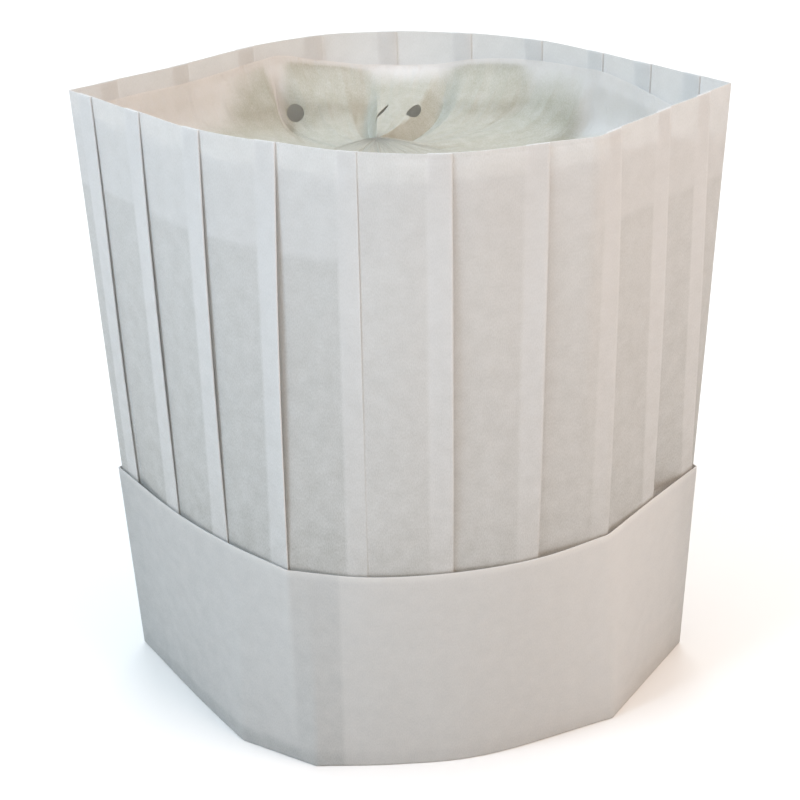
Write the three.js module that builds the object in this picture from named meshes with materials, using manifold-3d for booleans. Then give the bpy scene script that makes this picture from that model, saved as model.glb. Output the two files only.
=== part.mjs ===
// Disposable chef hat of white non-woven sheet: a knife-pleated crown wall with one
// glued side seam, a gathered roof hung inside it, and a headband folded round its
// lower edge. Millimetres, +Z up, front towards -Y, standing on the headband's fold.

import * as THREE from 'three';
import { mergeVertices } from 'three/addons/utils/BufferGeometryUtils.js';
import Module from 'manifold-3d';

const wasm = await Module();
wasm.setup();

// Driving dimensions
const HAT_HEIGHT = 230;
const CUFF_HEIGHT = 84;
const SHEET = 1;
const PLY_GAP = 0.4;
const PIECE_GAP = 0.3;
const LEAF_SLACK = 0.7;
const PLEAT_LAP = 7.5;
const PLEAT_RUN_OUT = 1;
const PLEAT_STAND = 1;
const SEAM_LAP = 6.5;
const WALL_FOOT = 6;
const INNER_LEAF_HEIGHT = 80;
const CUFF_MIDDLE = 45;
const CREASE_FAN = 12;
const SKIRT_FOOT = 195;
const SKIRT_GAP = 0.8;
const ROOF_PLY = 1.3;
const ROOF_STEP = 9;
const TUFT_REACH = 0.35;
const VENT_DIAMETER = 8.5;
const PUNCH = { depth: 9, sides: 16 };
const KNOT = { x: -8, y: 33, z: 201.5 };

// Heights at which the crown wall and the headband are drawn
const WALL_LEVELS = [WALL_FOOT, CUFF_MIDDLE, CUFF_HEIGHT, 120, 157, 194, HAT_HEIGHT];

// Stations over a panel from its start to its end, and over the roof from the wall,
// which is 0 degrees, to the knot, which is 90
const PANEL_SHARES = [0, 0.35, 0.7, 1];
const ROOF_TURNS = [0, 15, 28, 38, 46, 54, 64, 76, 84];

// The three plies of a pleat lie one under the other, measured inwards from its face
const PLY_PITCH = SHEET + PLY_GAP;
const PLEAT_DEPTH = 2 * PLY_PITCH + SHEET;
const LEAF_INSET = SHEET + PIECE_GAP;

// The roof's skirt lies inside the wall, and the hanging sheet inside the skirt
const SKIRT_INSET = PLEAT_DEPTH + PIECE_GAP + 0.1;
const HANG_INSET = SKIRT_INSET + SHEET + SKIRT_GAP;

// Outlines of the outer face seen from above, from the left crease over the front
// and back round the rear. A row marked crease is a corner of the outline, and the
// front ends at the one marked right.
const RIM_OUTLINE = [
  { x: -115.5, y: 6.5, crease: true },
  { x: -86.5, y: -24.5 },
  { x: -64.5, y: -46.5 },
  { x: -38.5, y: -62 },
  { x: -13, y: -73.5 },
  { x: 16, y: -77.5 },
  { x: 44, y: -70 },
  { x: 63, y: -64, crease: true },
  { x: 90, y: -33.5 },
  { x: 115.5, y: -6, crease: true, right: true },
  { x: 91, y: 22.5 },
  { x: 55, y: 60.5 },
  { x: 28, y: 74.5 },
  { x: -1, y: 80.5 },
  { x: -30, y: 77 },
  { x: -56, y: 61.5 },
  { x: -78, y: 39 },
];
const CUFF_OUTLINE = [
  { x: -110.5, y: -1, crease: true },
  { x: -84, y: -38.5 },
  { x: -64, y: -60.5 },
  { x: -42, y: -80, crease: true },
  { x: -14.5, y: -86 },
  { x: 14.5, y: -84.5 },
  { x: 44, y: -76.5 },
  { x: 70.5, y: -61.5, crease: true },
  { x: 90, y: -36.5 },
  { x: 110, y: -12, crease: true, right: true },
  { x: 90, y: 21 },
  { x: 64, y: 53 },
  { x: 30, y: 70 },
  { x: -6, y: 74 },
  { x: -40, y: 67 },
  { x: -70, y: 45 },
];
const FOOT_OUTLINE = [
  { x: -108.5, y: 4.5, crease: true },
  { x: -82, y: -36.5 },
  { x: -63.5, y: -63, crease: true },
  { x: -35.5, y: -79.5, crease: true },
  { x: -5, y: -79.5 },
  { x: 24, y: -76 },
  { x: 75.5, y: -55, crease: true },
  { x: 108.5, y: -6, crease: true, right: true },
  { x: 88, y: 28 },
  { x: 62, y: 57 },
  { x: 30, y: 73 },
  { x: -6, y: 77 },
  { x: -40, y: 70 },
  { x: -70, y: 49 },
];

// Fold edges of the front, as distances from the left crease along the rim and along
// the top of the cuff. The seam row is a raw glued edge in place of a pleat.
const FRONT_FOLDS = [
  { rim: 13.5, cuff: 14.5 },
  { rim: 41.5, cuff: 45.5 },
  { rim: 73, cuff: 75 },
  { rim: 103, cuff: 105 },
  { rim: 131.5, cuff: 133.5, seam: true },
  { rim: 161.5, cuff: 163 },
  { rim: 193.5, cuff: 194 },
  { rim: 223, cuff: 224.5 },
  { rim: 251.5, cuff: 256.5 },
  { rim: 275, cuff: 285 },
];

// Fold edges of the back, as distances from the right crease
const BACK_FOLDS = [21.5, 44, 67, 96.5, 126.5, 156.5, 186, 216, 248, 279];

// Lines of the roof from the wall to the knot, by distance along the rim: how far the
// sheet's edge lies below the rim, how far its folds hang off the skirt, how full it
// hangs, where 1 is taut and 5 drops along the wall first, and how low it reaches
const ROOF_LINES = [
  { rim: 0, drop: 7, off: 1, fullness: 3, low: 196 },
  { rim: 30, drop: 7, off: 3, fullness: 2, low: 196 },
  { rim: 58, drop: 7, off: 1, fullness: 2.4, low: 198 },
  { rim: 86, drop: 8, off: 4, fullness: 2, low: 196 },
  { rim: 112, drop: 8, off: 1, fullness: 2.2, low: 198 },
  { rim: 140, drop: 9, off: 4, fullness: 2, low: 196 },
  { rim: 165, drop: 8, off: 1, fullness: 2.2, low: 198 },
  { rim: 192, drop: 8, off: 4, fullness: 2, low: 196 },
  { rim: 222, drop: 7, off: 1, fullness: 2.4, low: 198 },
  { rim: 250, drop: 9, off: 3, fullness: 2, low: 196 },
  { rim: 272, drop: 14, off: 1, fullness: 3, low: 196 },
  { rim: 287, drop: 17, off: 0, fullness: 4.5, low: 197 },
  { rim: 300, drop: 15.5, off: 0, fullness: 5, low: 196 },
  { rim: 317, drop: 12, off: 0, fullness: 5.5, low: 196 },
  { rim: 330, drop: 9, off: 0, fullness: 6, low: 195.5 },
  { rim: 343, drop: 7, off: 0, fullness: 6.5, low: 195 },
  { rim: 351, drop: 6.5, off: 0, fullness: 7, low: 194 },
  { rim: 356.5, drop: 7, off: 4.5, fullness: 5, low: 194 },
  { rim: 368, drop: 7.3, off: 5, fullness: 4, low: 196 },
  { rim: 379, drop: 7.7, off: 4, fullness: 4, low: 197 },
  { rim: 388, drop: 8, off: 9, fullness: 4, low: 196 },
  { rim: 400, drop: 9, off: 11, fullness: 3.4, low: 196 },
  { rim: 409, drop: 10, off: 11, fullness: 3.2, low: 196 },
  { rim: 416, drop: 11.5, off: 6, fullness: 4, low: 194 },
  { rim: 422, drop: 12.5, off: 4, fullness: 2.1, low: 201 },
  { rim: 434, drop: 13, off: 3, fullness: 1.9, low: 201 },
  { rim: 446, drop: 12.5, off: 4, fullness: 2.1, low: 200 },
  { rim: 451, drop: 12.5, off: 8, fullness: 4, low: 194 },
  { rim: 460, drop: 11, off: 12, fullness: 3.4, low: 196 },
  { rim: 471, drop: 9, off: 12, fullness: 4.5, low: 196 },
  { rim: 481, drop: 6.2, off: 9, fullness: 5, low: 195 },
  { rim: 486, drop: 5.3, off: 4, fullness: 5.5, low: 195 },
  { rim: 489.5, drop: 5.2, off: 0.5, fullness: 5.5, low: 194 },
  { rim: 494, drop: 5.7, off: 7, fullness: 5, low: 194 },
  { rim: 507, drop: 6.5, off: 5, fullness: 4.2, low: 195 },
  { rim: 520, drop: 6.8, off: 1.5, fullness: 3.8, low: 196 },
  { rim: 535, drop: 7, off: 0, fullness: 3.6, low: 196 },
  { rim: 550, drop: 6.5, off: 0, fullness: 3.4, low: 196 },
];

// Vent holes punched in the roof, by distance along the rim and turn from the wall.
// Where a gather closes a hole, it keeps only shares of its width and length, and leans.
const VENTS = [
  { rim: 484.5, turn: 36, wide: 0.85, long: 0.82, lean: 0 },
  { rim: 443, turn: 52, wide: 0.16, long: 1.25, lean: 28 },
  { rim: 422.5, turn: 50, wide: 0.42, long: 1, lean: 8 },
];

// The matt non-woven sheet, by its colour
const sheetMaterial = (color) => new THREE.MeshStandardMaterial({
  color,
  roughness: 0.9,
  metalness: 0,
});

// Walks an outline by distance. Between creases it is a smooth curve through its rows.
function makeOutline(rows) {
  const spans = [];
  const closed = [...rows, rows[0]];
  let points = [];
  let start = 0;
  let front = 0;
  for (const row of closed) {
    points.push(new THREE.Vector3(row.x, row.y, 0));
    if (!row.crease || points.length < 2) continue;
    const curve = new THREE.CatmullRomCurve3(points, false, 'centripetal');
    const length = curve.getLength();
    spans.push({ curve, start, length });
    start += length;
    if (row.right) front = start;
    points = [points.at(-1)];
  }
  spans.forEach((span, i) => {
    const before = spans.at(i - 1).curve.getTangentAt(1);
    const after = span.curve.getTangentAt(0);
    span.turnAtStart = Math.tan(before.angleTo(after) / 2);
    spans.at(i - 1).turnAtEnd = span.turnAtStart;
  });
  return { spans, length: start, front };
}

// Point of an outline at a distance, moved inwards. Near a crease the direction
// inwards fans towards the corner's bisector, so that inset outlines never cross.
function insetPoint(outline, distance, inset) {
  const along = THREE.MathUtils.euclideanModulo(distance, outline.length);
  const span = outline.spans.findLast((candidate) => along >= candidate.start);
  const local = Math.min(along - span.start, span.length);
  const point = span.curve.getPointAt(local / span.length);
  const tangent = span.curve.getTangentAt(local / span.length);
  const nearStart = Math.max(0, 1 - local / CREASE_FAN);
  const nearEnd = Math.max(0, 1 - (span.length - local) / CREASE_FAN);
  const skew = span.turnAtEnd * nearEnd - span.turnAtStart * nearStart;
  const outwards = new THREE.Vector3(tangent.y, -tangent.x, 0).addScaledVector(tangent, skew);
  return point.addScaledVector(outwards, -inset);
}

const rim = makeOutline(RIM_OUTLINE);
const cuff = makeOutline(CUFF_OUTLINE);
const foot = makeOutline(FOOT_OUTLINE);

// A place round the hat is a distance on the rim and one on the cuff. Below the cuff's
// top edge it keeps its share of the front or of the back of the foot outline.
function footDistance(cuffDistance) {
  if (cuffDistance <= cuff.front) return (cuffDistance / cuff.front) * foot.front;
  const share = (cuffDistance - cuff.front) / (cuff.length - cuff.front);
  return foot.front + share * (foot.length - foot.front);
}

// Point of the cuff's face at a height, moved inwards
function cuffPoint(place, inset, z) {
  const low = insetPoint(foot, footDistance(place.cuff), inset);
  const high = insetPoint(cuff, place.cuff, inset);
  return low.lerp(high, z / CUFF_HEIGHT).setZ(z);
}

// Point of the crown wall's face at a height, moved inwards. The wall stands inside
// the cuff's outer leaf, and is ruled from there to the rim.
function wallPoint(place, inset, z) {
  if (z <= CUFF_HEIGHT) return cuffPoint(place, inset + LEAF_INSET, z);
  const low = insetPoint(cuff, place.cuff, inset + LEAF_INSET);
  const high = insetPoint(rim, place.rim, inset);
  return low.lerp(high, (z - CUFF_HEIGHT) / (HAT_HEIGHT - CUFF_HEIGHT)).setZ(z);
}

// Fold edges all round. Those of the back keep their share of the back of the cuff.
function foldEdges() {
  const backShare = (cuff.length - cuff.front) / (rim.length - rim.front);
  const back = BACK_FOLDS.map((distance) => ({
    rim: rim.front + distance,
    cuff: cuff.front + distance * backShare,
  }));
  return [...FRONT_FOLDS, ...back];
}

// The panels between fold edges. Each starts just past one fold edge, under it, and
// ends where the next pleat's lap begins, on top of it.
function panelPlaces(previous, fold) {
  const lap = fold.seam ? SEAM_LAP : PLEAT_LAP;
  const from = { rim: previous.rim + PLEAT_RUN_OUT, cuff: previous.cuff + PLEAT_RUN_OUT };
  const to = { rim: fold.rim - lap - PLEAT_RUN_OUT, cuff: fold.cuff - lap - PLEAT_RUN_OUT };
  const places = PANEL_SHARES.map((rise) => ({
    rim: THREE.MathUtils.lerp(from.rim, to.rim, rise),
    cuff: THREE.MathUtils.lerp(from.cuff, to.cuff, rise),
    rise,
  }));
  // A crease of the hat that crosses the panel takes the place of its nearest station
  for (const crease of [{ rim: 0, cuff: 0 }, { rim: rim.front, cuff: cuff.front }]) {
    if (crease.rim <= from.rim || crease.rim >= to.rim) continue;
    const rise = (crease.rim - from.rim) / (to.rim - from.rim);
    const nearest = rise < 0.5 ? 1 : 2;
    places[nearest] = { ...crease, rise };
  }
  return places;
}

const folds = foldEdges();
const panels = folds.map((fold, i) => {
  const previous = i > 0 ? folds[i - 1] : {
    rim: folds.at(-1).rim - rim.length,
    cuff: folds.at(-1).cuff - cuff.length,
    seam: false,
  };
  return { fold, previous, places: panelPlaces(previous, fold) };
});

// Closes a ring of closed sections into one surface. Faces that look at each other
// across a gap are cut along the same diagonal, so that their triangles stay parallel.
function loopSurface(sections) {
  const count = sections.length;
  const size = sections[0].length;
  const positions = sections.flat().flatMap((point) => [point.x, point.y, point.z]);
  const indices = [];
  for (let i = 0; i < count; i += 1) {
    const next = (i + 1) % count;
    for (let j = 0; j < size; j += 1) {
      const up = (j + 1) % size;
      const [a, b] = [i * size + j, next * size + j];
      const [c, d] = [next * size + up, i * size + up];
      const rises = up > 0 && sections[i][up].z >= sections[i][j].z;
      indices.push(...(rises ? [a, b, d, b, c, d] : [a, b, c, a, c, d]));
    }
  }
  return { positions, indices };
}

function toGeometry({ positions, indices }) {
  const geometry = new THREE.BufferGeometry();
  geometry.setAttribute('position', new THREE.Float32BufferAttribute(positions, 3));
  geometry.setIndex(indices);
  return geometry;
}

// Section of one pleat from above, as pairs of places on the wall's two faces. The
// sheet runs out to the fold edge, back under itself by the lap, and on again below.
function pleatPairs({ fold, previous, places }) {
  const start = previous.seam ? SHEET : 2 * PLY_PITCH;
  const shift = (distance) => ({ rim: fold.rim + distance, cuff: fold.cuff + distance });
  const pair = (outer, outerInset, inner, innerInset, stand = 0) => ({
    outer: { place: outer, inset: outerInset },
    inner: { place: inner, inset: innerInset },
    stand,
  });
  const panel = places.map((place) => {
    const inset = start * (1 - place.rise);
    return pair(place, inset, place, inset + SHEET, place.rise);
  });
  if (fold.seam) {
    return [
      ...panel,
      pair(shift(-SEAM_LAP), 0, shift(-SEAM_LAP), SHEET),
      pair(shift(0), 0, shift(-SEAM_LAP), 2 * SHEET),
      pair(shift(0), SHEET, shift(0), 2 * SHEET),
    ];
  }
  const pocket = SHEET - PLEAT_LAP;
  return [
    ...panel,
    pair(shift(0), 0, shift(-SHEET), SHEET, 1),
    pair(shift(0), PLY_PITCH + SHEET, shift(-SHEET), PLY_PITCH, 1),
    pair(shift(pocket), PLY_PITCH + SHEET, shift(-PLEAT_LAP), PLY_PITCH),
    pair(shift(pocket), 2 * PLY_PITCH, shift(-PLEAT_LAP), PLEAT_DEPTH),
  ];
}

// Fold edges stand off most half-way between the cuff and the rim
function standOff(z) {
  const share = Math.max(0, (z - CUFF_HEIGHT) / (HAT_HEIGHT - CUFF_HEIGHT));
  return PLEAT_STAND * 4 * share * (1 - share);
}

function crownWall() {
  const pairs = panels.flatMap(pleatPairs);
  const column = ({ place, inset }, stand) => WALL_LEVELS.map(
    (z) => wallPoint(place, inset - stand * standOff(z), z),
  );
  const sections = pairs.map(({ outer, inner, stand }) => [
    ...column(outer, stand),
    ...column(inner, stand).reverse(),
  ]);
  const mesh = new THREE.Mesh(toGeometry(loopSurface(sections)), sheetMaterial(0xd6dadb));
  mesh.name = 'crown_wall';
  return mesh;
}

function headband() {
  const innerLeaf = LEAF_INSET + PLEAT_DEPTH + LEAF_SLACK;
  const column = (inset, levels) => levels.map((z) => ({ inset, z }));
  const section = [
    ...column(0, [0, WALL_FOOT, CUFF_MIDDLE, CUFF_HEIGHT]),
    ...column(SHEET, [CUFF_HEIGHT, CUFF_MIDDLE, WALL_FOOT, SHEET]),
    ...column(innerLeaf, [SHEET, WALL_FOOT, CUFF_MIDDLE, INNER_LEAF_HEIGHT]),
    ...column(innerLeaf + SHEET, [INNER_LEAF_HEIGHT, CUFF_MIDDLE, 0]),
  ];
  const places = panels.flatMap(({ fold, places: panel }) => [...panel, fold]);
  const sections = places.map((place) => section.map(({ inset, z }) => cuffPoint(place, inset, z)));
  const mesh = new THREE.Mesh(toGeometry(loopSurface(sections)), sheetMaterial(0xcbcac8));
  mesh.name = 'headband';
  return mesh;
}

// Share of the way round the rim, from the left crease, as places for the roof
function roofPlace(distance) {
  if (distance <= rim.front) return { rim: distance, cuff: (distance / rim.front) * cuff.front };
  const share = (distance - rim.front) / (rim.length - rim.front);
  return { rim: distance, cuff: cuff.front + share * (cuff.length - cuff.front) };
}

// The roof's line at a distance along the rim, between its two neighbours
function roofLine(distance) {
  const next = ROOF_LINES.findIndex((line) => line.rim > distance);
  const after = next < 0 ? { ...ROOF_LINES[0], rim: rim.length } : ROOF_LINES[next];
  const before = next < 0 ? ROOF_LINES.at(-1) : ROOF_LINES[next - 1];
  const share = (distance - before.rim) / (after.rim - before.rim);
  const mix = (column) => THREE.MathUtils.lerp(before[column], after[column], share);
  return { drop: mix('drop'), off: mix('off'), fullness: mix('fullness'), low: mix('low') };
}

// Point of one of the roof's faces. From the edge at the wall to the knot its line is a
// quarter of a superellipse, whose power is the fullness. The face lies a depth below
// the upper one, and the bag's bottom rises to the knot.
function roofPoint(distance, turn, inset, depth) {
  const { drop, off, fullness, low } = roofLine(distance);
  const angle = THREE.MathUtils.degToRad(turn);
  const radius = (Math.cos(angle) ** fullness + Math.sin(angle) ** fullness) ** (-1 / fullness);
  const share = radius * Math.cos(angle);
  const fall = radius * Math.sin(angle);
  const z = HAT_HEIGHT - depth - drop - (HAT_HEIGHT - drop - low) * fall;
  const folded = inset + off * THREE.MathUtils.smoothstep(fall, 0.05, 0.6);
  const edge = wallPoint(roofPlace(distance), folded, z);
  const tuft = (KNOT.z - low) * (1 - THREE.MathUtils.smoothstep(share, 0, TUFT_REACH));
  return new THREE.Vector3(KNOT.x, KNOT.y, 0).lerp(edge, share).setZ(z + tuft);
}

// Distances along the rim at which the roof is drawn: every line of the table, the
// hat's right crease and even steps between them
function roofStations() {
  const marks = [...ROOF_LINES.map((line) => line.rim), rim.front, rim.length];
  marks.sort((a, b) => a - b);
  return marks.slice(1).flatMap((end, i) => {
    const steps = Math.ceil((end - marks[i]) / ROOF_STEP);
    return Array.from({ length: steps }, (_, k) => marks[i] + ((end - marks[i]) * k) / steps);
  });
}

// One sheet: up the skirt's outside, over its edge and along the upper face to the knot,
// then back along the lower face and down the skirt's inside
function roofSheet() {
  const stations = roofStations();
  const count = stations.length;
  const skirt = (inset, z) => (distance) => wallPoint(roofPlace(distance), inset, z(distance));
  const edge = (distance) => HAT_HEIGHT - roofLine(distance).drop;
  const hem = () => SKIRT_FOOT;
  const upper = ROOF_TURNS.map((turn) => (distance) => roofPoint(distance, turn, HANG_INSET + ROOF_PLY, 0));
  const lower = ROOF_TURNS.map((turn) => (distance) => roofPoint(distance, turn, HANG_INSET, ROOF_PLY));
  const rows = [
    skirt(SKIRT_INSET, hem),
    skirt(SKIRT_INSET, edge),
    ...upper,
    ...lower.reverse(),
    skirt(SKIRT_INSET + SHEET, (distance) => edge(distance) - ROOF_PLY),
    skirt(SKIRT_INSET + SHEET, hem),
  ];
  const points = rows.flatMap((pointAt) => stations.map(pointAt));
  const top = points.push(new THREE.Vector3(KNOT.x, KNOT.y, KNOT.z)) - 1;
  const bottom = points.push(new THREE.Vector3(KNOT.x, KNOT.y, KNOT.z - ROOF_PLY)) - 1;
  const innermost = 1 + ROOF_TURNS.length;
  const indices = [];
  rows.forEach((_, r) => {
    const [here, there] = [r * count, ((r + 1) % rows.length) * count];
    for (let i = 0; i < count; i += 1) {
      const next = (i + 1) % count;
      if (r === innermost) {
        indices.push(here + i, here + next, top, there + next, there + i, bottom);
      } else {
        indices.push(here + i, here + next, there + i, here + next, there + next, there + i);
      }
    }
  });
  const positions = points.flatMap((point) => [point.x, point.y, point.z]);
  return toGeometry({ positions, indices });
}

// A punch that stands square to the roof where a vent goes. Its length runs towards the
// knot, and it is narrow across that where the hole is closed.
function ventPunch({ rim: distance, turn, wide, long, lean }) {
  const centre = roofPoint(distance, turn, HANG_INSET, 0);
  const along = roofPoint(distance + 2, turn, HANG_INSET, 0).sub(centre);
  const lengthwise = roofPoint(distance, turn - 3, HANG_INSET, 0).sub(centre).normalize();
  const normal = along.cross(lengthwise).normalize();
  const across = new THREE.Vector3().crossVectors(lengthwise, normal);
  const radius = VENT_DIAMETER / 2;
  const punch = new THREE.CylinderGeometry(radius, radius, PUNCH.depth, PUNCH.sides);
  punch.rotateX(Math.PI / 2);
  punch.scale(wide, long, 1);
  punch.rotateZ(THREE.MathUtils.degToRad(lean));
  punch.applyMatrix4(new THREE.Matrix4().makeBasis(across, lengthwise, normal));
  return punch.translate(centre.x, centre.y, centre.z);
}

function toManifold(geometry) {
  const bare = geometry.clone();
  bare.deleteAttribute('normal');
  bare.deleteAttribute('uv');
  const merged = mergeVertices(bare);
  return new wasm.Manifold(new wasm.Mesh({
    numProp: 3,
    vertProperties: new Float32Array(merged.attributes.position.array),
    triVerts: new Uint32Array(merged.index.array),
  }));
}

function crownTop() {
  const sheet = VENTS.reduce(
    (body, vent) => body.subtract(toManifold(ventPunch(vent))),
    toManifold(roofSheet()),
  );
  const { vertProperties, triVerts } = sheet.getMesh();
  const geometry = toGeometry({ positions: Array.from(vertProperties), indices: Array.from(triVerts) });
  const mesh = new THREE.Mesh(geometry, sheetMaterial(0xc6c5b8));
  mesh.name = 'crown_top';
  return mesh;
}

const hat = new THREE.Group();
hat.add(crownWall(), crownTop(), headband());

// The origin is the middle of the box round the hat, on the surface it stands on
const box = new THREE.Box3().setFromObject(hat);
const middle = box.getCenter(new THREE.Vector3());
hat.position.set(-middle.x, -middle.y, -box.min.z);

export default hat;
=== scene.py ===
"""Disposable chef hat of white non-woven sheet: a knife-pleated crown wall with one glued
seam, a gathered roof hung inside its rim, and a headband folded round its lower edge.

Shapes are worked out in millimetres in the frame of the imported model, front towards -Y,
and are scaled to metres when a mesh is made.
"""

import math
from types import SimpleNamespace

import bpy
import numpy as np
from bpy.props import FloatProperty, FloatVectorProperty, PointerProperty
from mathutils import Matrix, Vector


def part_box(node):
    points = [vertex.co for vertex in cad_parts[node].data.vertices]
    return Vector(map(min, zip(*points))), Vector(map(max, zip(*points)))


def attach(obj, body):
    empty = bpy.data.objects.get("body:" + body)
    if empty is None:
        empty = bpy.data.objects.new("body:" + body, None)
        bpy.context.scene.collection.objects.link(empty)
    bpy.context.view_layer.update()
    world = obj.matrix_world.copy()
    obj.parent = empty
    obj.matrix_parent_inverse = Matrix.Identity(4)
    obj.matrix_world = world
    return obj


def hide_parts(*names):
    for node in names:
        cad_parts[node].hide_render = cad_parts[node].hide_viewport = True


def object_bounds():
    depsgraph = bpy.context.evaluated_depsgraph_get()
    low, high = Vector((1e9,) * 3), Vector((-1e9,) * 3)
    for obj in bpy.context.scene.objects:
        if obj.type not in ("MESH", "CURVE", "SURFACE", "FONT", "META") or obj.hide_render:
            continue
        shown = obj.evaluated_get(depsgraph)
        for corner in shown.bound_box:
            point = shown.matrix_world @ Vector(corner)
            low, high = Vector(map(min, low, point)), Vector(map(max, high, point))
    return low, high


bl_info = {
    "name": "Disposable chef hat",
    "version": (1, 0, 0),
    "blender": (4, 5, 0),
    "location": "3D View > Sidebar > Chef Hat",
    "description": "Builds a pleated disposable chef hat round its packed frame",
    "category": "Add Mesh",
}

MM = 0.001
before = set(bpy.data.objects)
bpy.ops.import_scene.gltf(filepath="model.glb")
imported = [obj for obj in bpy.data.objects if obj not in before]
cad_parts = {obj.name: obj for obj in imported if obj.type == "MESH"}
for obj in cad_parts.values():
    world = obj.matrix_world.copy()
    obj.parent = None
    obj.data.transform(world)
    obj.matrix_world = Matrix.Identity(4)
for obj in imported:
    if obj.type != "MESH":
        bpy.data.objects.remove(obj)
cad_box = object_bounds()
band_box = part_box("headband")

# Outlines of the outer face seen from above, x and y from the left crease over the front
# and back round the rear. Creases are the rows that are corners; the last is the right one.
RIM = {
    "creases": (0, 7, 9),
    "rows": [
        (-115.5, 6.5), (-86.5, -24.5), (-64.5, -46.5), (-38.5, -62), (-13, -73.5),
        (16, -77.5), (44, -70), (63, -64), (90, -33.5), (115.5, -6),
        (91, 22.5), (55, 60.5), (28, 74.5), (-1, 80.5), (-30, 77), (-56, 61.5), (-78, 39),
    ],
}
CUFF = {
    "creases": (0, 3, 7, 9),
    "rows": [
        (-110.5, -1), (-84, -38.5), (-64, -60.5), (-42, -80), (-14.5, -86),
        (14.5, -84.5), (44, -76.5), (70.5, -61.5), (90, -36.5), (110, -12),
        (90, 21), (64, 53), (30, 70), (-6, 74), (-40, 67), (-70, 45),
    ],
}
FOOT = {
    "creases": (0, 2, 3, 6, 7),
    "rows": [
        (-108.5, 4.5), (-82, -36.5), (-63.5, -63), (-35.5, -79.5), (-5, -79.5), (24, -76),
        (75.5, -55), (108.5, -6), (88, 28), (62, 57), (30, 73), (-6, 77), (-40, 70), (-70, 49),
    ],
}

# Fold edges of the front. rim and cuff are distances from the left crease, stand is how
# far the edge stands off half-way up, gap how far the next panel lies behind the cuff's
# edge, and backing how much of the next panel has a second ply behind it, whose
# whiteness is painted light on that panel.
FOLDS = [
    # rim, cuff, stand, gap, backing (painted light)
    (13.5, 14.5, 0.6, 0.9, 0.0),
    (41.5, 45.5, 0.8, 0.3, 0.0),
    (73, 75, 1, 0, 0.0),
    (103, 105, 1.6, 0, 0.0),
    (131.5, 133.5, 0, 0, 0.52),
    (161.5, 163, 1.2, 0, 0.5),
    (193.5, 194, 0.9, 0.6, 0.55),
    (223, 224.5, 0.9, 0.2, 0.25),
    (251.5, 256.5, 0.9, 3.2, 0.25),
    (275, 285, 0.5, 0, 0.2),
]

# The glued seam's row: its fold edge is the strip's raw end
SEAM_ROW = 4

# Rim distances of the back's fold edges from the right crease, and how far they stand off
BACK_FOLDS = (21.5, 44, 67, 96.5, 126.5, 156.5, 186, 216, 248, 279)
BACK_STAND = 1.2

# A panel starts this far past the fold edge before it
RUN_OUT = 1

# Points on the half circle of a fold, and how far from a crease of the hat the stations
# beside it are
FOLD_STEPS = 5
CREASE_STEP = 0.5

# Depth of the wall's slow waves
PUCKER = 0.35

# Depths below the cuff's edge between which a panel comes to lie back from it
GAP_RISE = (5, 1)

# Right of the seam the rim's inner ply stands above the outer one's edge by RIM_STEP: the
# face steps back there by RIM_STEP_DEPTH within a height of RIM_STEP_RISE, and the step
# starts and ends over these rim distances
RIM_STEP = 2.2
RIM_STEP_RISE = 0.3
RIM_STEP_DEPTH = 0.15
RIM_STEP_START = (136, 146)
RIM_STEP_END = (222, 232)

# Painted shade that a single ply of the wall takes where the dark hollow shows through it,
# painted shade of the hollow by height above the cuff's edge, and the painted highlight
# that a fold's edge gains from this part of the lap on
BARE_PAINTED_SHADE = 0.3
HOLLOW_SHADE = [(0, 0.4), (25, 0.22), (100, 0)]
EDGE_PAINTED_HIGHLIGHT = 0.08
EDGE_PART = 0.85

# Painted light on the wall's inner face, whiter than the lit colour, and the painted shade
# that a single ply takes there
INNER_PAINTED_LIGHT = 1.38
INNER_BARE_PAINTED_SHADE = 0.16

# The headband's sheet is this many times as thick as the wall's, its fold has this radius,
# its inner leaf keeps this far from the wall, and its fold takes up this much sheet
BAND_BULK = 1.2
FOLD_RADIUS = 0.55
INNER_CLEAR = 1.2

# Painted shade that darkens the headband down to its foot, the painted highlight on its
# edge between these depths below it, and the height to either side over which the wall's
# foot blurs in the painted shade of the empty fold
BAND_FOOT_PAINTED_SHADE = 0.2
BAND_EDGE_PAINTED_HIGHLIGHT = 0.3
BAND_EDGE_RISE = (1, 0.3)
FOOT_BLUR = 0.6

# Painted light on the headband's leaf for how much lies behind it, by distance along the
# cuff: the pleat's lap ends at 105, and the glued seam's side starts at 123
BAND_BACKING_PAINTED_LIGHT = [
    # cuff, backing (painted light)
    (0, 0.2), (25, 0.35), (60, 0.42), (96, 0.55), (105, 0.6), (105.8, 0.46), (122.5, 0.44),
    (124, 0.68), (190, 0.78), (230, 0.94), (270, 0.8), (300, 0.35), (560, 0.3),
]

# Painted shade of the headband's empty fold at the foot, by distance along the cuff
FOOT_SHADE = [(0, 0.5), (95, 0.45), (135, 0.08), (300, 0.08), (560, 0.3)]

# The roof's skirt shows through the wall: the height of its foot, and the whiteness that
# it adds to a single ply as painted light, by rim distance, low over the front's middle to
# leave painted shade on its top, and half the height over which its foot blurs
SKIRT_FOOT = [
    # rim, foot, whiteness (painted light)
    (0, 197, 0.7), (40, 196, 0.7), (75, 195, 0.7), (115, 194, 0.7), (131, 195, 0.7),
    (133, 196, 0.1), (190, 198, 0.1), (196, 198, 0.5), (230, 199, 0.7), (290, 198, 0.7),
    (430, 196, 0.7),
]
SKIRT_BLUR = 0.8

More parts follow.
